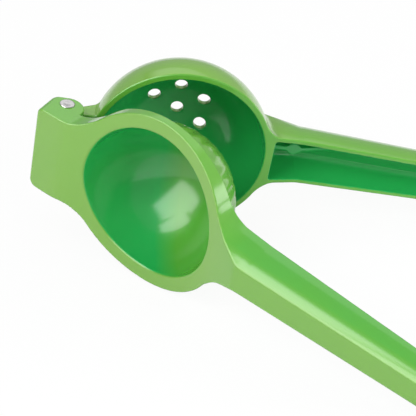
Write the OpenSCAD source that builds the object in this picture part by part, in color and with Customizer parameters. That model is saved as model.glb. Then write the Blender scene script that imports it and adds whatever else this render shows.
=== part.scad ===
// Hinged lemon squeezer, millimetres.
// Both castings are drawn closed, in the hinge frame: origin on the pin axis, +X along the
// handles, +Y from the press half to the bowl half, +Z up the pin. They are then opened about
// the pin and laid on their side, on the rims and the handle ends, with the table at Z = 0.

/* [Opening] */
// Angle between the two halves at rest
open_angle = 41; // [10:1:90]

/* [Head] */
// Distance from the hinge pin to the centre of the press half's cup
cup_to_hinge = 48.5; // [40:0.5:62]
// How much nearer to the pin the centre of the bowl lies
bowl_shift = 1; // [0:0.1:2]
// Outer radius of both rims
rim_r = 37.5; // [28:0.5:50]
// Width of the press rim, from the mouth of its cup to its outer edge
cup_land = 6.5; // [4:0.1:10]
// Width of the bowl's rim
bowl_land = 2.7; // [1.6:0.1:5]
// Inner depth of the bowl
bowl_h = 32.8; // [24:0.1:45]
// Wall thickness at the bottom of the bowl
bowl_wall = 2.6; // [1.6:0.1:4]
// Wall thickness at the top of the press dome
dome_wall = 2.4; // [1.6:0.1:4]
// Radius of the bow in the press half's outer face
bow_r = 125; // [100:5:200]
// Thickness of the press rim at its thinnest
rim_t = 4; // [3:0.1:5]
// Diameter of a juice hole
juice_d = 5.2; // [3:0.1:7]
// Radius of the ring of juice holes
juice_ring_r = 12.2; // [9:0.1:16]

/* [Hinge] */
// Height of the hinge block, from ear face to ear face
block_h = 37.6; // [32:0.1:46]
// Reach of the hinge block past the pin axis
block_back = 6.2; // [6:0.1:8]
// How far the block's front stands out past the edge of the bowed face
block_drop = 4.8; // [3:0.1:7]
// Slope of the ramp from the bowed face to the block's front
block_slope = 0.45; // [0.35:0.01:0.6]
// Step from the rim's back down to the back of the webs beside the block
web_step = 2.2; // [1:0.1:3]
// Thickness of each ear
ear_t = 5.4; // [4:0.1:8]
// Radius of an ear's rounded corner
lobe_r = 6.1; // [5:0.1:6.5]
// Shift of that corner's centre from the pin towards the cup
lobe_shift = 1.8; // [1:0.1:3]
// Drop of that corner's centre from the pin towards the press half's outer face
lobe_drop = 1; // [0:0.1:2]
// Radius of the hinge pin
pin_r = 2.5; // [2:0.1:3]
// Overhang of the pin's peened head past its shank
pin_head_lip = 0.45; // [0.1:0.05:1.5]
// Height of the pin's peened head
pin_head_h = 0.5; // [0.3:0.1:1]
// Radius of the knuckle round the pin
knuckle_r = 5.4; // [4.5:0.1:6]
// Distance from the pin axis to the seam between the halves
seam_y = 2; // [1:0.1:3]
// Thickness of the bowl half's neck beside the knuckle
neck_t = 6.5; // [5:0.1:9]

/* [Handles] */
// Distance from the hinge pin to the far end of the handles
handle_end = 222; // [190:0.5:260]
// Distance from the rims to where the handles have their full section
root_reach = 11.5; // [8:0.5:18]
// Half width of both handles at their open side, at the root
root_half = 10.6; // [9:0.1:12]
// Half width of the bowl handle at its open side, at the far end
end_half = 7.6; // [6:0.1:10]
// Half width of the flat along the press handle's outer side, at the root
press_root_flat = 5.4; // [4:0.1:7]
// Half width of that flat at the far end
press_end_flat = 4; // [3.5:0.1:5]
// Half width of the flat along the bowl handle's outer side, at the root
bowl_root_flat = 6.8; // [4:0.1:8]
// Half width of that flat at the far end
bowl_end_flat = 5.2; // [3.5:0.1:6]
// Depth of the press handle at the root
press_root_depth = 15; // [13:0.1:20]
// Depth of the bowl handle at the root
bowl_root_depth = 16.6; // [14:0.1:20]
// Depth of the bowl handle at the far end
bowl_end_depth = 11; // [9:0.1:14]
// Distance from the handles' full section to the bend in the bowl handle's open side
bend_reach = 52.5; // [30:0.5:80]
// Rise of the bowl handle's open side over the seam, at the root
open_side_rise = 2; // [1:0.1:4]
// Slope of the bowl handle's open side before the bend
root_slope = -0.09; // [-0.12:0.001:-0.06]
// Slope of both handles' open sides towards the far end
end_slope = -0.06; // [-0.08:0.001:-0.04]
// Wall thickness of the handles' channels
channel_wall = 1.9; // [1.2:0.1:2.4]
// Floor thickness of the handles' channels
channel_floor = 2.6; // [2:0.1:4]
// Radius of the hanging holes
hang_r = 3; // [2:0.1:3.4]
// Radius of the fillets between the handles and the rims
root_fillet = 10; // [6:0.5:16]
// Radius of the fillets between the hinge block and the rim
block_fillet = 15; // [8:0.5:18]
// Thickness of the rib in the bowl handle
rib_t = 2.1; // [1.5:0.1:4]
// Radius of the boss on the rib
boss_r = 2.8; // [2:0.1:4]
// Depth of the rib's and boss's tops below the handle's open side
boss_depth = 9; // [7:0.1:11]

/* [Clearances] */
// Gap between the two rims when closed
seam_gap = 0.3; // [0.2:0.05:1]
// Gap all round the dome's foot when it is pressed into the bowl
dome_gap = 3.1; // [1:0.1:6]
// Gap between the dome's top and the bottom of the bowl
dome_top_gap = 1.2; // [0.8:0.1:6]
// Running clearance of the pin in the knuckle
pin_gap = 0.05; // [0.02:0.01:0.1]
// Side clearance between the knuckle and an ear
ear_gap = 0.35; // [0.2:0.05:1]
// Radial clearance between the knuckle and the block
knuckle_gap = 0.5; // [0.3:0.1:1]
// Gap between the handles when closed
handle_gap = 0.45; // [0.2:0.05:1]

/* [Hidden] */
enamel = "yellowgreen";
eps = 0.01;
far = 400;
dome_power = 1.8;
bowl_power = 2.3;
flank_power = 2.6;
curve_steps = 22;

// What sits in the head: the cup's mouth, the bowl and the dome that is pressed into it
cup_r = rim_r - cup_land;
bowl_r = rim_r - bowl_land;
dome_r = bowl_r - dome_gap;
dome_h = bowl_h - dome_top_gap;

// Centre of the bowl, and where the press rim begins and ends along the handles
bowl_to_hinge = cup_to_hinge - bowl_shift;
near_x = cup_to_hinge - rim_r;
rim_x = cup_to_hinge + rim_r;

// Where the handles have their full section, and where the bowl handle's open side bends
root_x = rim_x + root_reach;
bend_x = root_x + bend_reach;

// Seams of the two halves, and the press half's outer face with its bow
press_seam = seam_y - seam_gap / 2;
bowl_seam = seam_y + seam_gap / 2;
face_y = press_seam - rim_t;
bow_at = function(x) face_y - bow_r + sqrt(pow(bow_r, 2) - pow(x - cup_to_hinge, 2));
ramp_x = cup_to_hinge - cup_r + 1;
block_y = bow_at(ramp_x) - block_drop;
block_x = ramp_x - block_drop / block_slope;
ear_inner = block_h / 2 - ear_t;
pin_head_r = pin_r + pin_head_lip;

// Open sides of the handles. The bowl handle's has a bend, and the press handle's runs level
// with the seam and then, from knee_x, along the bowl handle's.
bowl_side = function(x) bowl_seam + open_side_rise + root_slope * (min(x, bend_x) - root_x)
    + end_slope * max(x - bend_x, 0);
knee_x = bend_x + (press_seam - bowl_side(bend_x) + handle_gap) / end_slope;
press_side = function(x) press_seam + end_slope * max(x - knee_x, 0);
flat_y = press_side(root_x) - press_root_depth;

// Centre of the handles' round ends, and how far along the handle a distance x lies
end_x = handle_end - end_half;
hang_x = end_x - hang_r - 1;
share = function(x) (x - root_x) / (end_x - root_x);
mix = function(a, b, x) a + (b - a) * share(x);

// Lean that lays the press rim and both handle ends on the table. The bowl's rim, which lies
// a little nearer the hinge, then hangs a fraction of a millimetre over it.
half_open = open_angle / 2;
drop = rim_r - end_half;
along = (end_x - cup_to_hinge) * cos(half_open);
bowl_run = along - (bowl_side(end_x) + press_seam) * sin(half_open);
press_run = along + (press_side(end_x) - press_seam) * sin(half_open);
lean = asin(drop / norm([bowl_run, drop * sin(half_open)]));
press_end_half = rim_r - drop * press_run / bowl_run;
rim_reach = rim_r * sqrt(1 - pow(sin(half_open) * sin(lean), 2));
lift = rim_reach + (cup_to_hinge * cos(half_open) + press_seam * sin(half_open)) * sin(lean);

// Middle of the object over the table
low_x = (block_y * sin(half_open) - block_back * cos(half_open)) * cos(lean)
    - block_h / 2 * sin(lean);
high_x = (end_x * cos(half_open) - bowl_side(end_x) * sin(half_open)) * cos(lean)
    + end_half;
low_y = flat_y * cos(half_open) - (end_x + press_end_flat) * sin(half_open);
high_y = (bowl_side(end_x) + bowl_end_depth) * cos(half_open)
    + (end_x + bowl_end_flat) * sin(half_open);

// From the hinge frame to the table, with a half turned about the pin
module on_table(turn) {
    translate([-(low_x + high_x) / 2, -(low_y + high_y) / 2, lift])
        rotate([0, lean, 0])
            rotate([0, 0, turn])
                children();
}

// Turns a shape's +Z to +Y, on the axis of the cup or the bowl at x, at the height y
module about_axis(x, y) {
    translate([x, y, 0])
        rotate([-90, 0, 0])
            children();
}

// Points of a rounded cup, from radius r at its mouth to the depth h at its bottom
cup_curve = function(r, h, power)
    [for (i = [0 : curve_steps])
        let (t = 90 * i / curve_steps)
        [r * pow(cos(t), 2 / power), h * pow(sin(t), 2 / power)]];

// Solid of revolution inside a cup curve, with a straight mouth of its own radius
module cup_solid(r, h, power, mouth, mouth_r) {
    rotate_extrude($fn = 96)
        polygon(concat([[0, -mouth], [mouth_r, -mouth], [mouth_r, 0]], cup_curve(r, h, power)));
}

// Half of a handle's section: [half width, depth], flat on the open side, bulging flanks
function flank(half, flat, depth) =
    [for (t = [0 : 0.2 : 1]) [half - (half - flat) * pow(t, flank_power), depth * t]];

// Thin slice of a handle at x, behind its open side where way is 1 and before it where -1
module slice(x, open_y, half, flat, depth, way) {
    side = flank(half, flat, depth);
    translate([x, open_y, 0])
        rotate([0, -90, 0])
            linear_extrude(height = eps)
                polygon(concat([for (p = side) [p[0], way * p[1]]],
                    [for (i = [len(side) - 1 : -1 : 0]) [-side[i][0], way * side[i][1]]]));
}

// Round far end of a handle, tilted to its open side, with the same flank all the way round
module tip(open_y, half, flat, depth, way) {
    translate([end_x, open_y, 0])
        rotate([0, 0, atan(end_slope)])
            rotate([way * -90, 0, 0])
                rotate_extrude($fn = 32)
                    polygon(concat([[0, 0]], flank(half, flat, depth), [[0, depth]]));
}

// Round bar on the pin's axis, for the pin, its bore and the knuckle
module z_bar(r, h) {
    cylinder(r = r, h = h, center = true, $fn = 72);
}

// Block from x0 to x1 and y0 to y1, with the height h centred on the handles' middle plane
module z_block(x0, x1, y0, y1, h) {
    translate([x0, y0, -h / 2])
        cube([x1 - x0, y1 - y0, h]);
}

// Web between the rim and a bar of this half width, with a fillet on each side. It is drawn
// about the cup's axis, towards +X where way is 1 and towards -X where -1, and extruded by h.
// The fillets bite a little into the rim and the bar, so that their edges cross cleanly.
module fillet_web(half, fillet, way, h) {
    bite = 0.2;
    rise = half + fillet - bite;
    run = sqrt(pow(rim_r + fillet - bite, 2) - pow(rise, 2));
    linear_extrude(height = h)
        difference() {
            polygon([[0, 0], [way * run, rise], [way * run, -rise]]);
            for (side = [-1, 1])
                translate([way * run, side * rise])
                    circle(r = fillet, $fn = 64);
        }
}

// Hanging hole through the floor of a handle
module hang_hole() {
    translate([hang_x, -far / 2, 0])
        rotate([-90, 0, 0])
            cylinder(r = hang_r, h = far, $fn = 48);
}

// ---- Press half: rim, cup and dome, hinge block with two ears, handle ----

// Everything before the outer face, which is bowed over the rim, then slopes down a ramp to the
// block's flat front
module before_face() {
    translate([cup_to_hinge, face_y - bow_r, 0])
        cylinder(r = bow_r, h = far, center = true, $fn = 96);
    translate([0, 0, -far / 2])
        linear_extrude(height = far)
            polygon([[-far, block_y], [block_x, block_y], [ramp_x, bow_at(ramp_x)],
                [ramp_x, -far], [-far, -far]]);
}

// Rim disc, its webs and the hinge block. They are drawn h deep and cut to the outer face.
// The block's ears end in a lobe at the pin, with a slope behind it down to the block's back,
// and the webs beside the block lie lower than the rim's back.
module press_rim() {
    h = 30;
    overlap = 4;
    lobe = [lobe_shift, -lobe_drop];
    slope_top = lobe + [-2, lobe_r - 0.3];
    slope_foot = [-block_back, seam_y - 1.7];
    web_y = press_seam - web_step;
    notch = [lobe_shift + lobe_r, web_y - 0.8];
    difference() {
        union() {
            about_axis(cup_to_hinge, press_seam - h) {
                cylinder(r = rim_r, h = h, $fn = 128);
                fillet_web(root_half, root_fillet, 1, h);
                fillet_web(block_h / 2, block_fillet, -1, h - web_step);
            }
            translate([0, 0, -block_h / 2])
                linear_extrude(height = block_h) {
                    polygon([[-block_back, press_seam - h], [ramp_x + overlap, press_seam - h],
                        [ramp_x + overlap, web_y], notch, lobe, slope_top, slope_foot]);
                    translate(lobe)
                        circle(r = lobe_r, $fn = 64);
                }
        }
        before_face();
    }
}

// Cup's hollow: straight through the mouth, then one curve from the face to its bottom
module cup_hollow() {
    about_axis(cup_to_hinge, face_y)
        cup_solid(cup_r, rim_t + dome_h - dome_wall, dome_power, far / 4, cup_r);
}

// Room between the ears for the knuckle and the bowl half's neck
module knuckle_slot() {
    room = knuckle_r + knuckle_gap;
    z_bar(room, 2 * ear_inner);
    z_block(-far / 4, 0, -room, far / 4, 2 * ear_inner);
    z_block(-eps, near_x + 2, press_seam, far / 4, 2 * ear_inner);
}

// Slice of the press handle, or of its channel: cut deeper by the cut, thinner by the wall
module press_slice(x, cut = 0, wall = 0, floor = 0) {
    slice(x, press_side(x) + cut, mix(root_half, press_end_half, x) - wall,
        mix(press_root_flat, press_end_flat, x), press_side(x) - flat_y + cut - floor, -1);
}

// Press handle: its root grows out of the rim, tucked in under the bow of the outer face
module press_bar() {
    start_x = rim_x - 3;
    flare = 3;
    tuck = 0.3;
    hull() {
        slice(start_x, press_seam, root_half + flare, root_half + flare,
            press_seam - bow_at(start_x) - tuck, -1);
        press_slice(root_x);
    }
    hull() {
        press_slice(root_x);
        press_slice(knee_x);
        tip(press_side(end_x), press_end_half, press_end_flat, press_side(end_x) - flat_y, -1);
    }
}

// Channel cast into the press handle, open towards the bowl handle
module press_channel() {
    start_x = rim_x + 3;
    cut = 1;
    hull() {
        slice(start_x, press_seam + cut, root_half - channel_wall, press_root_flat,
            press_seam - bow_at(start_x) + cut - channel_floor, -1);
        press_slice(root_x, cut, channel_wall, channel_floor);
    }
    hull() {
        press_slice(root_x, cut, channel_wall, channel_floor);
        press_slice(knee_x, cut, channel_wall, channel_floor);
        tip(press_side(end_x) + cut, press_end_half - channel_wall, press_end_flat,
            press_side(end_x) - flat_y + cut - channel_floor, -1);
    }
}

module press_half() {
    color(enamel)
        on_table(-half_open)
            difference() {
                union() {
                    press_rim();
                    about_axis(cup_to_hinge, press_seam)
                        cup_solid(dome_r, dome_h, dome_power, rim_t / 2, dome_r);
                    press_bar();
                }
                cup_hollow();
                knuckle_slot();
                z_bar(pin_r, far);
                press_channel();
                hang_hole();
            }
}

// ---- Bowl half: perforated bowl, knuckle, neck, handle with rib and boss ----

module juice_holes() {
    about_axis(bowl_to_hinge, bowl_seam)
        linear_extrude(height = far / 4) {
            circle(d = juice_d, $fn = 48);
            for (a = [30 : 60 : 330])
                rotate(a)
                    translate([juice_ring_r, 0])
                        circle(d = juice_d, $fn = 48);
        }
}

// Knuckle round the pin and the neck that carries the bowl
module knuckle() {
    knuckle_h = 2 * (ear_inner - ear_gap);
    wall_x = near_x + 4;
    z_bar(knuckle_r, knuckle_h);
    translate([0, 0, -knuckle_h / 2])
        linear_extrude(height = knuckle_h)
            polygon([[0, bowl_seam], [wall_x, bowl_seam], [wall_x, bowl_seam + neck_t + 4],
                [wall_x / 2, bowl_seam + neck_t], [0, knuckle_r]]);
}

// Webs of the bowl's rim along the handle
module bowl_web() {
    web_t = 3;
    about_axis(bowl_to_hinge, bowl_seam)
        fillet_web(root_half, root_fillet, 1, web_t);
}

// Slice of the bowl handle, or of its channel: cut deeper by the cut, thinner by the wall
module bowl_slice(x, cut = 0, wall = 0, floor = 0) {
    slice(x, bowl_side(x) - cut, mix(root_half, end_half, x) - wall,
        mix(bowl_root_flat, bowl_end_flat, x),
        mix(bowl_root_depth, bowl_end_depth, x) + cut - floor, 1);
}

// Bowl handle: its root grows out of the bowl's wall, broader and deeper there
module bowl_bar() {
    start_x = rim_x - 6;
    flare = 3;
    hull() {
        slice(start_x, bowl_seam, root_half + 1, root_half, bowl_root_depth + flare, 1);
        bowl_slice(root_x);
    }
    hull() {
        bowl_slice(root_x);
        bowl_slice(bend_x);
    }
    hull() {
        bowl_slice(bend_x);
        tip(bowl_side(end_x), end_half, bowl_end_flat, bowl_end_depth, 1);
    }
}

// Channel cast into the bowl handle, open towards the press handle
module bowl_channel() {
    start_x = rim_x + 1;
    cut = 5;
    hull() {
        bowl_slice(start_x, cut, channel_wall, channel_floor);
        bowl_slice(bend_x, cut, channel_wall, channel_floor);
    }
    hull() {
        bowl_slice(bend_x, cut, channel_wall, channel_floor);
        tip(bowl_side(end_x) - cut, end_half - channel_wall, bowl_end_flat,
            bowl_end_depth + cut - channel_floor, 1);
    }
}

// Rib and round boss on the floor of the bowl handle's channel, next to the rim
module rib_and_boss() {
    boss_x = rim_x + 9.7;
    rib_end = boss_x + 8;
    top_y = bowl_side(boss_x) + boss_depth;
    floor_y = bowl_side(rib_end) + bowl_root_depth - channel_floor;
    z_block(rim_x - 1, rib_end, top_y, floor_y, rib_t);
    translate([boss_x, top_y, 0])
        rotate([-90, 0, 0])
            cylinder(r = boss_r, h = floor_y - top_y, $fn = 48);
}

module bowl_half() {
    color(enamel)
        on_table(half_open)
            difference() {
                union() {
                    about_axis(bowl_to_hinge, bowl_seam)
                        cup_solid(rim_r, bowl_h + bowl_wall, bowl_power, 0, rim_r);
                    knuckle();
                    bowl_web();
                    difference() {
                        bowl_bar();
                        bowl_channel();
                    }
                    rib_and_boss();
                }
                about_axis(bowl_to_hinge, bowl_seam)
                    cup_solid(bowl_r, bowl_h, bowl_power, far / 8, bowl_r);
                juice_holes();
                z_bar(pin_r + pin_gap, far);
                hang_hole();
            }
}

// ---- Hinge pin: steel rivet, peened over both ears, with a dimple in each head ----

module pin_head() {
    dimple_r = 1.3;
    bevel = 0.35;
    rotate_extrude($fn = 72)
        polygon([[0, 0], [pin_head_r, 0], [pin_head_r, pin_head_h - bevel / 2],
            [pin_head_r - bevel, pin_head_h], [dimple_r, pin_head_h],
            [dimple_r - bevel, pin_head_h / 4], [0, pin_head_h / 4]]);
}

module hinge_pin() {
    color("silver")
        on_table(0) {
            z_bar(pin_r, block_h);
            for (turn = [0, 180])
                rotate([turn, 0, 0])
                    translate([0, 0, block_h / 2])
                        pin_head();
        }
}

press_half();
bowl_half();
hinge_pin();
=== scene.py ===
import math

import bpy
import numpy as np
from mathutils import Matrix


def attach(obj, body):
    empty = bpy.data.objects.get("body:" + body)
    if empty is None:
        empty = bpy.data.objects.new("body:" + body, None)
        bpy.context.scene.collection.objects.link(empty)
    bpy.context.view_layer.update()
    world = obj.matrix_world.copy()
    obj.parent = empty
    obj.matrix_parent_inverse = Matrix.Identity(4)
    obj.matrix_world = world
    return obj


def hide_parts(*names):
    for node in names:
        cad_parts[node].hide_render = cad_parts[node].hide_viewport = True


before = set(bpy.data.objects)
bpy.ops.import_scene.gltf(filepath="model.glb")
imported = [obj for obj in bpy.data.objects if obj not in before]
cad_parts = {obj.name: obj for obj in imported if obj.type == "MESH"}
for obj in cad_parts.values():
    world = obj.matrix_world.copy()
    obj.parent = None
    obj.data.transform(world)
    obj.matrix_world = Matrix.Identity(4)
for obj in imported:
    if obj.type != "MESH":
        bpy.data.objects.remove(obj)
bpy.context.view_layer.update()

import openvdb
from mathutils import Matrix, Vector


# ---- Press half ----
# One aluminium die casting, coated green: a ring round a cup that bulges out behind it as a
# fluted dome, a hinge block with two ears drilled for the pin on one side of the ring, and a
# channelled handle on the other.
#
# Both castings are worked out closed, in millimetres: the pin's axis is z, x runs along the
# handles and y from the press half's outer face to the bowl.
CUP_X = 48.5            # from the pin's axis to the middle of the cup
RIM_R = 37.47
CUP_MOUTH_R = 31.0
DOME_R = 31.7
DOME_H = 31.6
DOME_WALL = 2.4
DOME_POWER = 1.8        # how full the cup and the dome are: 2 would be half an ellipse
FLUTES = 32
FLUTE_DEPTH = 0.4
PRESS_SEAM = 1.85       # the flat back of the press rim
FACE_Y = -2.15          # its outer face, at the middle of the bow
BOW_R = 125.0
BOW_REACH = 90.0        # how far from the cup's middle the bow is worked out
BLOCK_Y = -10.6         # the block's flat front
BLOCK_X = 7.8           # where the ramp from the bow meets that front
BLOCK_SLOPE = 0.45
BLOCK_END = -6.1
BLOCK_HALF = 18.8
BLOCK_CORNER = 3.0
BLOCK_FILLET = 7.0
END_SLANT = 0.2         # how far the block's end leans out for each millimetre behind its front,
SLANT_DEPTH = 10.0      # how far behind the front that goes on,
SLANT_X = 2.0           # and the stretch over which it comes in, towards the end
SLANT_LENGTH = 8.0
END_ROUND = 0.5         # what the block's front edge gains in radius towards its end
WEB_Y = -1.15           # back of the webs beside the block, at the ears' corners
WEB_SLOPE = 0.15
EAR_INNER = 13.4
EAR_CORNER_Y = 1.4      # back of the ears at the block's end
EAR_TOP_R = 1.2         # radius between the slope of an ear's back and its lobe's height
LOBE = (1.8, -1.0, 6.1)  # x, y and radius of an ear's round corner
SLOT_R = 5.9            # the slot between the ears, round the knuckle
NECK_ROOM = 13.0        # how far the slot's room for the bowl's neck reaches
BORE_R = 2.53
ROOT_X = 97.5           # where the handles have their full section
HANDLE_X = 214.4        # middle of their round ends
PRESS_FLAT_Y = -13.15   # the flat along the press handle's outer side
PRESS_RAMP_X = 97.0     # where the ramp from the bow ends,
PRESS_RAMP_STEP = 0.1   # this far before that flat
PRESS_RAMP_SLOPE = 0.42
PRESS_KNEE_X = 102.1    # where the press handle's open side begins to slope
OPEN_SLOPE = 0.06       # slope of both handles' open sides towards their ends
PRESS_OPEN_HALF = (10.6, 8.2)  # press handle's half width at its open side, at root and end
PRESS_FLARE = 1.5       # what that gains towards the ring,
FLARE_X = 102.0         # from here
FLARE_LENGTH = 14.0
PRESS_FLAT_HALF = (5.5, 4.1)  # half width of its flat, at root and end
TAPER_X = 86.5          # where the flat comes out of the bow,
TAPER_HALF = 11.2       # its half width there,
TAPER_MOST = 13.0       # at most anywhere,
TAPER_SLOPE = 0.53      # and how fast it narrows
BACK_FILLET = 7.0       # between the handle and the ring, at the seam
FRONT_FILLET = 5.0      # the same at the outer side
PRESS_CHANNEL_X = 89.5  # where the press handle's channel begins
CHANNEL_WALL = 1.9
CHANNEL_FLOOR = 2.6
CHANNEL_CORNER = 2.0
HANG_X = 210.4
HANG_R = 3.0
EDGE = 0.5              # radius left on the press half's outer edges and both hanging holes
BORE_EDGE = 0.15
BULGE = 2.6             # how late the flanks turn in towards the flat: 2 would be a parabola


def join(a, b, r):
    """Union of two solids given as distances: the smaller one, less a circle of radius r in
    the corner between them."""
    corner = np.hypot(np.maximum(r - a, 0), np.maximum(r - b, 0))
    return np.maximum(r, np.minimum(a, b)) - corner


def keep(a, b, r):
    """Intersection of two solids given as distances: the larger one, with the edge between
    them rounded by a circle of radius r."""
    corner = np.hypot(np.maximum(r + a, 0), np.maximum(r + b, 0))
    return np.minimum(-r, np.maximum(a, b)) + corner


def ease(a, b, w):
    """Larger of two curves, with the kink where they cross eased over a height w. The smaller
    one is -ease(-a, -b, w)."""
    return (a + b + np.sqrt((a - b) ** 2 + w ** 2)) / 2


def over(curve, x, y):
    """Distance of y under the curve at x: the height between them, times the cosine of the
    curve's slope there."""
    step = 0.05
    slope = (curve(x + step) - curve(x - step)) / (2 * step)
    return (curve(x) - y) / np.sqrt(1 + slope ** 2)


def mix(at_root, at_end, x):
    """Value that runs straight from one at the handles' root to one at their round end."""
    return at_root + (at_end - at_root) * (x - ROOT_X) / (HANDLE_X - ROOT_X)


def cup(x, y, z, r, h, power, mouth_y, ripple=0.0):
    """Distance to a cup, with x from its axis: (across / r)^power + (deep / h)^power = 1 behind
    its mouth and a straight tube before it."""
    across = (np.hypot(x, z) + ripple) / r
    deep = np.maximum(y - mouth_y, 0) / h
    k = np.maximum((across ** power + deep ** power) ** (1 / power), 1e-3)
    steep = np.hypot((across / k) ** (power - 1) / r, (deep / k) ** (power - 1) / h)
    return (k - 1) / np.maximum(steep, 1e-3)


def ring_and_block(x, z):
    """Outline of the press head from the front: a disc, and a block with round corners whose
    long sides run into the disc with a fillet."""
    length = CUP_X - BLOCK_END
    along = np.abs(x - CUP_X) - (length - BLOCK_CORNER)
    up = np.abs(z) - (BLOCK_HALF - BLOCK_CORNER)
    block = np.hypot(np.maximum(along, 0), np.maximum(up, 0)) - BLOCK_CORNER
    block = np.maximum(block + np.minimum(np.maximum(along, up), 0), x - CUP_X)
    return join(np.hypot(x - CUP_X, z) - RIM_R, block, BLOCK_FILLET)


def bar(x, z, half):
    """Outline of a handle from the front, with the half width given along x and a round end."""
    end = np.hypot(x - HANDLE_X, z) - half(np.full_like(x, HANDLE_X))
    return np.where(x < HANDLE_X, np.maximum(np.abs(z) - half(x), CUP_X - x), end)


def press_front(x):
    """Outer side of the press half along x: the bow of the face, which is part of a circle,
    and on each side a steeper ramp, down to the block's flat front or to the flat of the
    handle. The kinks between them are eased."""
    across = np.clip(x - CUP_X, -BOW_REACH, BOW_REACH)
    bow = FACE_Y - BOW_R + np.sqrt(BOW_R ** 2 - across ** 2)
    block_ramp = BLOCK_Y + BLOCK_SLOPE * (x - BLOCK_X)
    handle_ramp = PRESS_FLAT_Y + PRESS_RAMP_STEP + PRESS_RAMP_SLOPE * (PRESS_RAMP_X - x)
    face = -ease(-bow, -np.where(x < CUP_X, block_ramp, handle_ramp), 0.7)
    flat = np.where(x < CUP_X, BLOCK_Y, PRESS_FLAT_Y)
    flat_kink = np.where(x < CUP_X, 1.2, 0.35)
    return ease(face, flat, flat_kink)


def press_open(x):
    """Open side of the press handle along x: level with the seam, then sloping away from the
    bowl handle."""
    return PRESS_SEAM - OPEN_SLOPE * np.maximum(x - PRESS_KNEE_X, 0)


def press_open_half(x):
    """Half width of the press handle at its open side: straight from root to end, and wider
    where it comes out of the ring."""
    flare = PRESS_FLARE * np.clip((FLARE_X - x) / FLARE_LENGTH, 0, 1)
    return mix(*PRESS_OPEN_HALF, x) + flare


def press_flat_half(x):
    """Half width of the press handle's flat: straight from root to end, and before the root a
    faster taper that starts broad on the ring's bow."""
    taper = np.minimum(TAPER_HALF - TAPER_SLOPE * (x - TAPER_X), TAPER_MOST)
    return ease(mix(*PRESS_FLAT_HALF, x), taper, 0.6)


def press_outline(x, y, z):
    """Side of the press half at any depth. At the seam it is the head's outline with the full
    handle, at the front the same with the narrow flat, and between them it goes from one to
    the other by the depth to a power, so that the flank bulges. The block's end leans out
    towards its back."""
    lean = END_SLANT * np.clip(y - BLOCK_Y, 0, SLANT_DEPTH)
    lean = lean * np.clip((SLANT_X - x) / SLANT_LENGTH, 0, 1)
    head = ring_and_block(x + lean, z)
    back = join(head, bar(x, z, press_open_half), BACK_FILLET)
    front = join(head, bar(x, z, press_flat_half), FRONT_FILLET)
    depth = (press_open(x) - y) / (press_open(x) - press_front(x))
    return back + (front - back) * np.clip(depth, 0, 1) ** BULGE


def press_cup(x, y, z):
    """Hollow of the cup, in one curve from the face to its bottom."""
    depth = PRESS_SEAM - FACE_Y + DOME_H - DOME_WALL
    return cup(x - CUP_X, y, z, CUP_MOUTH_R, depth, DOME_POWER, FACE_Y)


def press_channel(x, y, z):
    """Channel in the press handle, a wall's thickness inside its sides and its flat, with
    round corners all along."""
    floor = over(press_front, x, y - CHANNEL_FLOOR)
    inside = keep(press_outline(x, y, z) + CHANNEL_WALL, floor, CHANNEL_CORNER)
    return keep(inside, PRESS_CHANNEL_X - x, 2.5)


def press_half(x, y, z):
    """Distance to the whole press half: what its outline, front and back have in common, with
    the dome joined to it and the hollows cut out of it."""
    edge = EDGE + END_ROUND * np.clip(-(x + 1) / 4, 0, 1) ** 2
    solid = keep(press_outline(x, y, z), over(press_front, x, y), edge)
    # The back, from the block's end: a slope of 3 in 4 and a lobe on each ear, then the webs
    # and the rim
    lobe_x, lobe_y, lobe_r = LOBE
    lobe = np.hypot(x - lobe_x, y - lobe_y) - lobe_r
    ear_slope = 0.8 * (y - EAR_CORNER_Y) - 0.6 * (x - BLOCK_END)
    wedge = np.maximum(ear_slope, x - lobe_x - 1)
    wedge = keep(wedge, y - lobe_y - lobe_r, EAR_TOP_R)
    rim = np.hypot(np.minimum(x - CUP_X, 0), z) - RIM_R
    web_back = np.minimum(WEB_Y + WEB_SLOPE * (x - lobe_x - lobe_r), press_open(x))
    back = np.minimum(y - web_back, np.maximum(y - press_open(x), rim))
    back = np.maximum(back, lobe_x - x)
    solid = keep(solid, join(join(lobe, wedge, 0.5), back, 0.4), 0.6)
    # The dome, with flutes that fade out towards its top and its foot
    turn = np.arctan2(z, x - CUP_X)
    fade = np.clip(np.hypot(x - CUP_X, z) / DOME_R, 0, 1) ** 2
    fade = fade * np.clip((y - PRESS_SEAM) / 4, 0, 1)
    flutes = FLUTE_DEPTH * fade * (0.5 - 0.5 * np.cos(FLUTES * turn))
    dome = cup(x - CUP_X, y, z, DOME_R, DOME_H, DOME_POWER, PRESS_SEAM, flutes)
    solid = join(solid, np.maximum(dome, -y), 1.0)
    # The cup, the slot for the knuckle and the neck, the channel, the bore and the hanging hole
    solid = keep(solid, -press_cup(x, y, z), 1.0)
    slot = np.minimum(np.hypot(x, y) - SLOT_R, np.maximum(x, -SLOT_R - y))
    neck_room = np.abs(x - NECK_ROOM / 2) - NECK_ROOM / 2
    slot = np.minimum(slot, np.maximum(PRESS_SEAM - y, neck_room))
    solid = keep(solid, -keep(slot, np.abs(z) - EAR_INNER, 0.4), 0.5)
    solid = keep(solid, -press_channel(x, y, z), 0.6)
    solid = keep(solid, BORE_R - np.hypot(x, y), BORE_EDGE)
    return keep(solid, HANG_R - np.hypot(x - HANG_X, z), EDGE)


# How the closed halves are turned about the pin, leant and set down on the table. The lean
# lays the press rim and both handle ends on it.
HALF_OPEN = math.radians(20.5)
LEAN = math.radians(11.0036)
PIN_AT = Vector((-96.661, 2.876, 46.211))
GRID = 0.5              # spacing of the points at which a casting's distance is worked out
MOST_FACES = 92000      # quads' worth of triangles that a casting may keep
FIT_STEPS = 3           # how often its points are moved towards the exact surface,
FIT_REACH = 0.3         # and how far at most each time


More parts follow.
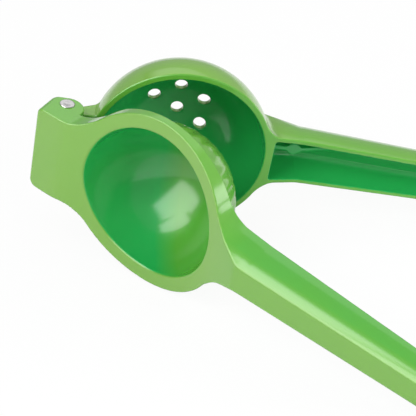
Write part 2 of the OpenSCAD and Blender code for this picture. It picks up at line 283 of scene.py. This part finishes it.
def on_table(turn):
    """Matrix from the closed, millimetre frame to the table, in metres."""
    leant = Matrix.Rotation(LEAN, 4, "Y") @ Matrix.Rotation(turn, 4, "Z")
    return Matrix.Scale(0.001, 4) @ Matrix.Translation(PIN_AT) @ leant


def slope_of(shape, p):
    """Direction in which the distance grows at each point, by small steps both ways."""
    step = 0.04
    slope = np.empty_like(p)
    for axis in range(3):
        d = np.zeros(3)
        d[axis] = step
        slope[:, axis] = shape(*(p + d).T) - shape(*(p - d).T)
    return slope / np.maximum(np.linalg.norm(slope, axis=1, keepdims=True), 1e-9)


def casting(name, shape, low, high, turn, depth):
    """Mesh of a casting from its distance. The distance is worked out on a grid of points, the
    skin is drawn through where it is zero, thinned, and each point is then moved on to the
    exact surface and given its exact direction. depth gives each point its painted shade for
    the coating's colour: darker on flanks and rims and in hollows."""
    axes = [np.arange(a, b, GRID, dtype=np.float32) for a, b in zip(low, high)]
    field = shape(*np.meshgrid(*axes, indexing="ij", sparse=True)).astype(np.float32)
    volume = openvdb.FloatGrid(GRID)
    volume.copyFromArray(np.clip(field, -GRID, GRID))
    points, quads = volume.convertToQuads()
    mesh = bpy.data.meshes.new(name)
    mesh.from_pydata(points * GRID + np.array(low), [], quads)
    piece = bpy.data.objects.new(name, mesh)
    bpy.context.scene.collection.objects.link(piece)
    thin = piece.modifiers.new("thin", "DECIMATE")
    thin.ratio = min(1.0, MOST_FACES / len(quads))
    graph = bpy.context.evaluated_depsgraph_get()
    thinned = bpy.data.meshes.new_from_object(piece.evaluated_get(graph))
    piece.modifiers.clear()
    piece.data = thinned
    bpy.data.meshes.remove(mesh)
    p = np.empty(len(thinned.vertices) * 3, np.float32)
    thinned.vertices.foreach_get("co", p)
    p = p.reshape(-1, 3).astype(float)
    for _ in range(FIT_STEPS):
        away = np.clip(shape(*p.T), -FIT_REACH, FIT_REACH)
        p -= away[:, None] * slope_of(shape, p)
    direction = slope_of(shape, p)
    place = np.array(on_table(turn))
    thinned.vertices.foreach_set("co", (p @ place[:3, :3].T + place[:3, 3]).ravel())
    turned = direction @ place[:3, :3].T
    turned /= np.linalg.norm(turned, axis=1, keepdims=True)
    thinned.polygons.foreach_set("use_smooth", np.ones(len(thinned.polygons), bool))
    thinned.update()
    thinned.normals_split_custom_set_from_vertices(turned)
    # Painted shade for the coat's colour, kept on each point
    painted_shading = thinned.attributes.new("painted_shading", "FLOAT", "POINT")
    painted_shading.data.foreach_set("value", depth(*p.T, *direction.T).astype(np.float32))
    return piece


def colour(code):
    """Linear colour of an sRGB hex value."""
    s = np.array([int(code[i:i + 2], 16) / 255 for i in (1, 3, 5)])
    linear = np.where(s <= 0.04045, s / 12.92, ((s + 0.055) / 1.055) ** 2.4)
    return (*linear.tolist(), 1.0)


def add(material, kind, inputs=(), **settings):
    """Adds a node with its settings. An input is a value, or the output of another node."""
    tree = material.node_tree
    node = tree.nodes.new(kind)
    for key, value in settings.items():
        setattr(node, key, value)
    for key, value in dict(inputs).items():
        if isinstance(value, bpy.types.NodeSocket):
            tree.links.new(value, node.inputs[key])
        else:
            node.inputs[key].default_value = value
    return node


def green_enamel():
    """Gloss enamel, sprayed and baked on cast aluminium. It is a little bumpy, like orange
    peel. Its colour carries painted shade: pale on the outer faces, darker on the flanks and
    rims and deepest green in the hollows, with a painted reflection lighter in the cup's bottom."""
    material = bpy.data.materials.new("green_enamel")
    material.use_nodes = True
    material.node_tree.nodes.clear()
    where = add(material, "ShaderNodeTexCoord").outputs["Object"]
    # This attribute carries painted shade: darker on flanks and rims, darkest in the hollows
    painted_shading = add(material, "ShaderNodeAttribute", attribute_name="painted_shading").outputs["Fac"]
    # Clouds in the spray's thickness, about 12 mm across
    cloud = add(material, "ShaderNodeTexNoise",
                {"Vector": where, "Scale": 1 / 0.012, "Detail": 3.0}).outputs["Fac"]
    # The painted shade from the mesh, with the clouds' random tone added to it
    cloud_and_shading = add(material, "ShaderNodeMath", {0: cloud, 1: 0.10, 2: painted_shading},
                operation="MULTIPLY_ADD").outputs[0]
    ramp = add(material, "ShaderNodeValToRGB", {"Fac": cloud_and_shading})
    ramp.color_ramp.elements.new(0.5)
    # Stops: pale outer face, flank in painted shade, deepest painted shade in the hollows
    for stop, code in zip(ramp.color_ramp.elements, ("#7EB244", "#58A838", "#28AC54")):
        stop.color = colour(code)
    paint = ramp.outputs["Color"]
    # Orange peel: bumps 1.4 mm apart and some microns high, drawn coarser than the real ones
    peel = add(material, "ShaderNodeTexNoise",
               {"Vector": where, "Scale": 1 / 0.0014, "Detail": 1.0}).outputs["Fac"]
    bump = add(material, "ShaderNodeBump",
               {"Height": peel, "Strength": 0.25, "Distance": 0.00002}).outputs[0]
    rough = add(material, "ShaderNodeMapRange",
                {"Value": cloud, "To Min": 0.16, "To Max": 0.24}).outputs[0]
    shader = add(material, "ShaderNodeBsdfPrincipled",
                 {"Base Color": paint, "Roughness": rough, "IOR": 1.5, "Normal": bump,
                  "Coat Weight": 0.6, "Coat Roughness": 0.06}).outputs[0]
    add(material, "ShaderNodeOutputMaterial", {"Surface": shader})
    return material


enamel = green_enamel()


def in_hollow(distance):
    """1 on the skin of a hollow, falling to 0 within its rounded edge."""
    return np.clip(1.25 - np.abs(distance) / 0.35, 0, 1)


def on_handle(x):
    """0 on the head, rising evenly to 1 where the handle begins."""
    return np.clip((x - 80) / 15, 0, 1)


def press_painted_shading(x, y, z, turn_x, turn_y, turn_z):
    """Painted shade for the coat's colour: 0 on the head's front, 0.1 on the handle's, 0.25 on
    the head's flanks, 0.5 on the handle's, and 1 in the channel and the cup, which a painted
    reflection lightens at its bottom and towards the handle."""
    # Faces that turn away from the front are painted darker, as shade
    flank = np.clip(2.0 + 2.4 * turn_y, 0, 1) * (0.25 + 0.25 * on_handle(x))
    flank = np.maximum(flank, 0.1 * on_handle(x))
    # A painted reflection: the cup is painted lighter at its bottom and towards the handle
    thin = 0.58 * np.clip((1.25 * (x - CUP_X) + 1.1 * y - 6) / 16, 0, 1)
    hollow = np.maximum(in_hollow(press_cup(x, y, z)) * (1 - thin),
                        in_hollow(press_channel(x, y, z)))
    return np.maximum(flank, hollow)


press = casting("press_casting", press_half, (-8, -15, -39), (224, 35, 39), -HALF_OPEN,
                press_painted_shading)
press.data.materials.append(enamel)
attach(press, "press")
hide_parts("press_half")


# ---- Bowl half ----
# The second aluminium casting: a deep bowl with seven juice holes, a knuckle that turns on the
# pin between the press half's ears, and a channelled handle with a rib and a round boss cast
# on its floor. It has the same baked green coat.
BOWL_X = 47.5           # from the pin's axis to the middle of the bowl
BOWL_SEAM = 2.15        # the flat of its rim
BOWL_R = 34.8
BOWL_H = 32.8
BOWL_WALL = 2.6
BOWL_POWER = 2.3        # fuller than the dome
JUICE_HOLE_R = 2.6
JUICE_RING_R = 12.2
HOLES_Y = 20.0          # the holes are drilled from here outwards
KNUCKLE_R = 5.4
KNUCKLE_HALF = 13.05
NECK_SLOPE = 0.47       # how fast the neck thickens towards the bowl
NECK_END = 22.0         # where it ends, inside the bowl's wall
NECK_FACE = (7.0, 35.0)  # stretch over which its flat side is trimmed level with the rim
RISE_X = 80.0           # where the bowl's open side begins to rise to the handle
RISE_SLOPE = 0.115
RISE = 2.0              # how far the open side stands above the rim at the handle's root
ROOT_SLOPE = 0.09       # its slope from there
BEND_X = 150.0          # to here, where it flattens
BOWL_OPEN_HALF = (10.6, 7.6)  # half width at the open side, at the root and at the round end
BOWL_FLAT_HALF = (6.8, 5.2)  # half width of the flat, at the same places
BOWL_HANDLE_DEPTH = (16.6, 11.0)  # from the open side to the flat, at the same places
BOWL_FLARE = (0.8, 3.5, 3.0)  # what those three gain at the bowl
BOWL_FLARE_LENGTH = 17.5
CHANNEL_X = 85.8        # where the bowl handle's channel begins
BOSS_X = 95.7
BOSS_R = 2.8
RIB_HALF = 1.05
RIB_DROP = 9.0          # from the handle's open side down to the tops of the rib and boss
RIB_SLOPE = 0.2         # how fast the rib's top goes down past the boss


def bowl_open(x):
    """Open side of the bowl half along x: the rim, a rise to the handle, and the handle's two
    slopes."""
    handle = BOWL_SEAM + RISE - ROOT_SLOPE * (np.minimum(x, BEND_X) - ROOT_X)
    handle = handle - OPEN_SLOPE * np.maximum(x - BEND_X, 0)
    rise = BOWL_SEAM + RISE_SLOPE * np.maximum(x - RISE_X, 0)
    return -ease(-handle, -rise, 0.3)


def root(x):
    """Share, 0 to 1, by which the bowl handle's root flares out towards the bowl."""
    return np.clip((ROOT_X - x) / BOWL_FLARE_LENGTH, 0, 1)


def bowl_open_half(x):
    """Half width of the bowl handle at its open side, straight from root to end."""
    return mix(*BOWL_OPEN_HALF, x) + BOWL_FLARE[0] * root(x)


def bowl_flat_half(x):
    """Half width of the bowl handle's flat, straight from root to end."""
    return mix(*BOWL_FLAT_HALF, x) + BOWL_FLARE[1] * root(x)


def bowl_back(x):
    """Outer side of the bowl handle along x, where its flat runs."""
    return bowl_open(x) + mix(*BOWL_HANDLE_DEPTH, x) + BOWL_FLARE[2] * root(x)


def bowl_handle(x, y, z):
    """Side of the bowl handle at any depth: full width at the open side, the narrow flat at
    the outer side, and bulging flanks between them."""
    wide = bar(x, z, bowl_open_half)
    narrow = bar(x, z, bowl_flat_half)
    depth = (y - bowl_open(x)) / (bowl_back(x) - bowl_open(x))
    return wide + (narrow - wide) * np.clip(depth, 0, 1) ** BULGE


def bowl_hollow(x, y, z):
    """Inside of the bowl."""
    return cup(x - BOWL_X, y, z, BOWL_R, BOWL_H, BOWL_POWER, BOWL_SEAM)


def bowl_channel(x, y, z):
    """Channel in the bowl handle, without the rib and the boss that stand on its floor."""
    floor = -over(bowl_back, x, y + CHANNEL_FLOOR)
    inside = keep(bowl_handle(x, y, z) + CHANNEL_WALL, floor, CHANNEL_CORNER)
    channel = keep(inside, CHANNEL_X - x, 1.2)
    top = bowl_open(np.full_like(x, BOSS_X)) + RIB_DROP
    top = top + RIB_SLOPE * np.maximum(x - BOSS_X - 3, 0)
    boss = np.hypot(x - BOSS_X, z) - BOSS_R
    rib = np.abs(z) - RIB_HALF
    stand = keep(join(boss, rib, 0.8), top - y, 0.5)
    return keep(channel, -stand, 0.8)


def bowl_half(x, y, z):
    """Distance to the whole bowl half: the bowl, its handle, and its knuckle with the neck,
    joined with fillets, less the hollows."""
    solid = cup(x - BOWL_X, y, z, RIM_R, BOWL_H + BOWL_WALL, BOWL_POWER, BOWL_SEAM)
    handle = keep(bowl_handle(x, y, z), -over(bowl_back, x, y), 0.9)
    # The fillet round the handle's root is largest at the rim
    fillet = 3.5 + 2.5 * np.clip(1 - (y - BOWL_SEAM) / 6, 0, 1) ** 2
    solid = join(solid, handle, fillet)
    solid = keep(solid, over(bowl_open, x, y), 0.6)
    # The neck's height over its slope, times the cosine of that slope
    neck = (y - KNUCKLE_R - NECK_SLOPE * x) / 1.105
    neck = np.maximum(neck, np.maximum(BOWL_SEAM - y, -x))
    knuckle = join(np.hypot(x, y) - KNUCKLE_R, np.maximum(neck, x - NECK_END), 0.6)
    solid = join(solid, keep(knuckle, np.abs(z) - KNUCKLE_HALF, 0.6), 1.5)
    # The join swells a little where the neck's flat meets the rim's, so it is trimmed there
    middle, reach = sum(NECK_FACE) / 2, (NECK_FACE[1] - NECK_FACE[0]) / 2
    solid = np.maximum(solid, np.minimum(BOWL_SEAM - y, reach - np.abs(x - middle)))
    # The bowl's inside, the channel, seven juice holes, the bore and the hanging hole
    solid = keep(solid, -bowl_hollow(x, y, z), 0.5)
    solid = keep(solid, -bowl_channel(x, y, z), 0.4)
    hole = np.hypot(x - BOWL_X, z)
    for turn in np.radians(np.arange(30, 360, 60)):
        across, up = JUICE_RING_R * math.cos(turn), JUICE_RING_R * math.sin(turn)
        hole = np.minimum(hole, np.hypot(x - BOWL_X - across, z - up))
    solid = keep(solid, -np.maximum(hole - JUICE_HOLE_R, HOLES_Y - y), 0.45)
    solid = keep(solid, BORE_R - np.hypot(x, y), BORE_EDGE)
    return keep(solid, HANG_R - np.hypot(x - HANG_X, z), EDGE)


def bowl_painted_shading(x, y, z, turn_x, turn_y, turn_z):
    """Painted shade for the coat's colour: 0 on the outside of the bowl, 0.2 on the handle's,
    0.35 on the rims, which turn to the press half and are painted darker, and 1, darkest, in
    the bowl and the channel."""
    hollow = np.minimum(np.abs(bowl_hollow(x, y, z)), np.abs(bowl_channel(x, y, z)))
    # Rims that face the press half are painted darker, as shade
    outside = np.maximum(0.35 * np.clip(-2.4 * turn_y - 0.2, 0, 1), 0.2 * on_handle(x))
    return np.maximum(outside, in_hollow(hollow))


bowl = casting("bowl_casting", bowl_half, (-8, -7, -39), (224, 40, 39), HALF_OPEN, bowl_painted_shading)
bowl.data.materials.append(enamel)
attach(bowl, "bowl")
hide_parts("bowl_half")


# ---- Hinge pin ----
# A bright steel rivet through both ears and the knuckle. Each end is spun over into a low
# round head, which leaves a raised ring with a shallow dimple inside it.
PIN_R = 2.5
PIN_HALF = 18.8
HEAD_R = 2.95
HEAD_H = 0.5
HEAD_EDGE = 0.25        # radius of the head's edge
DIMPLE_R = 1.0
DIMPLE_H = 0.38         # height of the head at the dimple's edge
RING_WIDTH = 1.5        # of the raised ring round the dimple
RELIEF = 0.06           # how deep the dimple is, and how far the edge lies under the ring


def pin_profile():
    """Radius and height along the rivet from pole to pole: a dimple (a quarter of a cosine),
    the raised ring round it (0.62 of half a sine wave), the head's edge (a quarter of a circle)
    and the shank, mirrored for the other end."""
    dimple = np.linspace(0, DIMPLE_R, 8)
    ring = np.linspace(0, 1, 16)[1:]
    edge = np.linspace(0, math.pi / 2, 8)
    r = np.concatenate([dimple, DIMPLE_R + RING_WIDTH * ring,
                        HEAD_R - HEAD_EDGE + HEAD_EDGE * np.sin(edge)])
    h = np.concatenate([DIMPLE_H - RELIEF * np.cos(dimple / DIMPLE_R * math.pi / 2),
                        DIMPLE_H + (HEAD_H - DIMPLE_H) * np.sin(ring * math.pi * 0.62),
                        HEAD_H - HEAD_EDGE + HEAD_EDGE * np.cos(edge) - RELIEF])
    r = np.concatenate([r, [HEAD_R, PIN_R, PIN_R]])
    h = np.concatenate([h, [0.0, 0.0, -PIN_HALF]]) + PIN_HALF
    return np.concatenate([r, r[-2::-1]]), np.concatenate([h, -h[-2::-1]])


def lathe(name, radius, height, steps, place):
    """Closed surface from turning a profile about z: each point of the profile goes round a
    circle, and its first and last points are the poles."""
    turn = np.linspace(0, 2 * math.pi, steps, endpoint=False)
    ring = np.stack([np.outer(radius[1:-1], np.cos(turn)), np.outer(radius[1:-1], np.sin(turn)),
                     np.outer(height[1:-1], np.ones(steps))], axis=-1).reshape(-1, 3)
    points = np.vstack([ring, [0, 0, height[0]], [0, 0, height[-1]]])
    points = points @ np.array(place)[:3, :3].T + np.array(place)[:3, 3]
    here = np.arange(steps)
    after = (here + 1) % steps
    row = steps * np.arange(len(radius) - 3)[:, None]
    side = np.stack([row + here, row + steps + here, row + steps + after, row + after], axis=-1)
    top = np.stack([np.full(steps, len(ring)), here, after], axis=-1)
    last = steps * (len(radius) - 3)
    bottom = np.stack([np.full(steps, len(ring) + 1), last + after, last + here], axis=-1)
    mesh = bpy.data.meshes.new(name)
    mesh.from_pydata(points, [], side.reshape(-1, 4).tolist() + top.tolist() + bottom.tolist())
    mesh.polygons.foreach_set("use_smooth", np.ones(len(mesh.polygons), bool))
    piece = bpy.data.objects.new(name, mesh)
    bpy.context.scene.collection.objects.link(piece)
    return piece


def bright_steel():
    """Mild steel wire, zinc plated and spun over cold: bright, with fine rings round the
    pin's axis that the spinning leaves."""
    material = bpy.data.materials.new("bright_steel")
    material.use_nodes = True
    material.node_tree.nodes.clear()
    where = add(material, "ShaderNodeTexCoord").outputs["Object"]
    lean = add(material, "ShaderNodeMapping", {"Vector": where, "Location": PIN_AT * -0.001},
               vector_type="POINT").outputs[0]
    upright = add(material, "ShaderNodeMapping", {"Vector": lean, "Rotation": (0, -LEAN, 0)},
                  vector_type="POINT").outputs[0]
    # The pattern is brought back to the pin's own axis. Its rings are 0.15 mm apart, which is
    # 0.314 divided by the scale
    rings = add(material, "ShaderNodeTexWave",
                {"Vector": upright, "Scale": 0.314 / 0.00015, "Distortion": 0.5},
                wave_type="RINGS", rings_direction="Z").outputs["Fac"]
    bump = add(material, "ShaderNodeBump",
               {"Height": rings, "Strength": 0.3, "Distance": 0.00001}).outputs[0]
    rough = add(material, "ShaderNodeMapRange",
                {"Value": rings, "To Min": 0.18, "To Max": 0.3}).outputs[0]
    shader = add(material, "ShaderNodeBsdfPrincipled",
                 {"Base Color": colour("#DCDADB"), "Metallic": 1.0, "Roughness": rough,
                  "Normal": bump}).outputs[0]
    add(material, "ShaderNodeOutputMaterial", {"Surface": shader})
    return material


pin = lathe("hinge_rivet", *pin_profile(), 64, on_table(0))
pin.data.materials.append(bright_steel())
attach(pin, "press")
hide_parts("hinge_pin")


# ---- Table and backdrop ----
# A table with a smooth white laminate top, which runs back out of sight. It is matt, so that
# it keeps a soft shadow, and lies just under the squeezer's lowest points.
def white_table():
    """Matt white laminate. The camera sees it close to plain white, with part of the object's
    shadow left in it, and the gloss sees it as it is lit."""
    material = bpy.data.materials.new("white_table")
    material.use_nodes = True
    material.node_tree.nodes.clear()
    ray = add(material, "ShaderNodeLightPath")
    share = add(material, "ShaderNodeMath", {0: ray.outputs["Is Camera Ray"], 1: 0.93},
                operation="MULTIPLY").outputs[0]
    matt = add(material, "ShaderNodeBsdfDiffuse", {"Color": colour("#F4F4F4")}).outputs[0]
    glow = add(material, "ShaderNodeEmission", {"Color": colour("#FFFFFF")}).outputs[0]
    both = add(material, "ShaderNodeMixShader", {0: share, 1: matt, 2: glow}).outputs[0]
    add(material, "ShaderNodeOutputMaterial", {"Surface": both})
    return material


TABLE_HALF = 3.0
TABLE_Z = -0.0002
table_mesh = bpy.data.meshes.new("table")
corners = [(x * TABLE_HALF, y * TABLE_HALF, TABLE_Z)
           for x, y in ((-1, -1), (1, -1), (1, 1), (-1, 1))]
table_mesh.from_pydata(corners, [], [(0, 1, 2, 3)])
table = bpy.data.objects.new("table", table_mesh)
bpy.context.scene.collection.objects.link(table)
table_mesh.materials.append(white_table())

world = bpy.data.worlds.new("studio")
world.use_nodes = True
bpy.context.scene.world = world
sky = world.node_tree.nodes["Background"]
sky.inputs["Color"].default_value = colour("#F7F9FA")
sky.inputs["Strength"].default_value = 0.4


# ---- Lights ----
# Three large soft lamps, high on the left, lower on the right and weaker at the back, light the
# squeezer evenly. Four white cards round it show only in its gloss: a large tilted one in front,
# a high one on the left, a small low one on the right and a wide, dimmer one behind.
MIDDLE = Vector((-0.03, 0.0, 0.035))
LAMP_SIZE = 0.7
LAMP_DISTANCE = 1.2
CARD_DISTANCE = 0.8


def around(azimuth, elevation, distance):
    """Place at that distance from the object's middle. Azimuth 0 is in front of it and 90 on
    its right."""
    a, e = math.radians(azimuth), math.radians(elevation)
    out = Vector((math.sin(a) * math.cos(e), -math.cos(a) * math.cos(e), math.sin(e)))
    return MIDDLE + distance * out


def facing(place, roll=0.0):
    """Matrix that puts a lamp or a card at a place, turned to the object's middle."""
    turn = (MIDDLE - place).to_track_quat("-Z", "Y").to_matrix().to_4x4()
    return Matrix.Translation(place) @ turn @ Matrix.Rotation(math.radians(roll), 4, "Z")


def soft_box(name, place, watts):
    """Square lamp that faces the object and doesn't show in its gloss."""
    lamp = bpy.data.lights.new(name, "AREA")
    lamp.size = LAMP_SIZE
    lamp.energy = watts
    light = bpy.data.objects.new(name, lamp)
    light.matrix_world = facing(place)
    light.visible_glossy = False
    bpy.context.scene.collection.objects.link(light)


def card(name, place, width, height, roll, strength):
    """White card that only the gloss sees, even in the middle and fading out over its outer
    three tenths."""
    mesh = bpy.data.meshes.new(name)
    w, h = width / 2, height / 2
    mesh.from_pydata([(-w, -h, 0), (w, -h, 0), (w, h, 0), (-w, h, 0)], [], [(3, 2, 1, 0)])
    mesh.uv_layers.new().data.foreach_set("uv", [-1, 1, 1, 1, 1, -1, -1, -1])
    material = bpy.data.materials.new(name)
    material.use_nodes = True
    material.node_tree.nodes.clear()
    spot = add(material, "ShaderNodeTexCoord").outputs["UV"]
    axes = add(material, "ShaderNodeSeparateXYZ", {0: spot}).outputs
    sides = [add(material, "ShaderNodeMath", {0: axes[i]}, operation="ABSOLUTE").outputs[0]
             for i in (0, 1)]
    away = add(material, "ShaderNodeMath", {0: sides[0], 1: sides[1]},
               operation="MAXIMUM").outputs[0]
    fade = add(material, "ShaderNodeMapRange",
               {"Value": away, "From Min": 0.7, "From Max": 1.0, "To Min": strength,
                "To Max": 0.0}).outputs[0]
    glow = add(material, "ShaderNodeEmission", {"Strength": fade}).outputs[0]
    add(material, "ShaderNodeOutputMaterial", {"Surface": glow})
    mesh.materials.append(material)
    panel = bpy.data.objects.new(name, mesh)
    panel.matrix_world = facing(place, roll)
    for ray in ("camera", "diffuse", "shadow", "transmission", "volume_scatter"):
        setattr(panel, "visible_" + ray, False)
    bpy.context.scene.collection.objects.link(panel)


soft_box("left_lamp", around(-35, 50, LAMP_DISTANCE), 8.7)
soft_box("right_lamp", around(65, 25, LAMP_DISTANCE), 6.3)
soft_box("back_lamp", around(130, 40, LAMP_DISTANCE), 4.0)
card("front_card", around(-25, 37, CARD_DISTANCE), 0.95, 0.95, 66, 4.2)
card("high_card", around(-58, 58, CARD_DISTANCE), 0.6, 0.6, 0, 4.4)
card("right_card", around(116, 4, CARD_DISTANCE), 0.3, 0.25, 0, 4.0)
card("back_card", around(180, 43, 0.9), 1.4, 0.55, 0, 1.0)


# ---- Camera ----
# It looks down on the squeezer from in front, with a long lens, and cuts off the handles' ends.
AIM = Vector((-0.03144, -0.01046, 0.03558))
DISTANCE = 0.6022
AZIMUTH = math.radians(18.383)
ELEVATION = math.radians(34.057)
ROLL = math.radians(-1.364)
FOCAL_PIXELS = 1559.6
FRAME_PIXELS = 416
SENSOR_MM = 36.0

lens = bpy.data.cameras.new("camera")
lens.sensor_width = SENSOR_MM
lens.lens = FOCAL_PIXELS / FRAME_PIXELS * SENSOR_MM
lens.clip_start = 0.01
camera = bpy.data.objects.new("camera", lens)
turned = Matrix.Rotation(AZIMUTH, 4, "Z") @ Matrix.Rotation(math.pi / 2 - ELEVATION, 4, "X")
camera.matrix_world = (Matrix.Translation(AIM) @ turned
                       @ Matrix.Translation((0, 0, DISTANCE)) @ Matrix.Rotation(ROLL, 4, "Z"))
bpy.context.scene.collection.objects.link(camera)
bpy.context.scene.camera = camera
bpy.context.scene.view_settings.view_transform = "Standard"
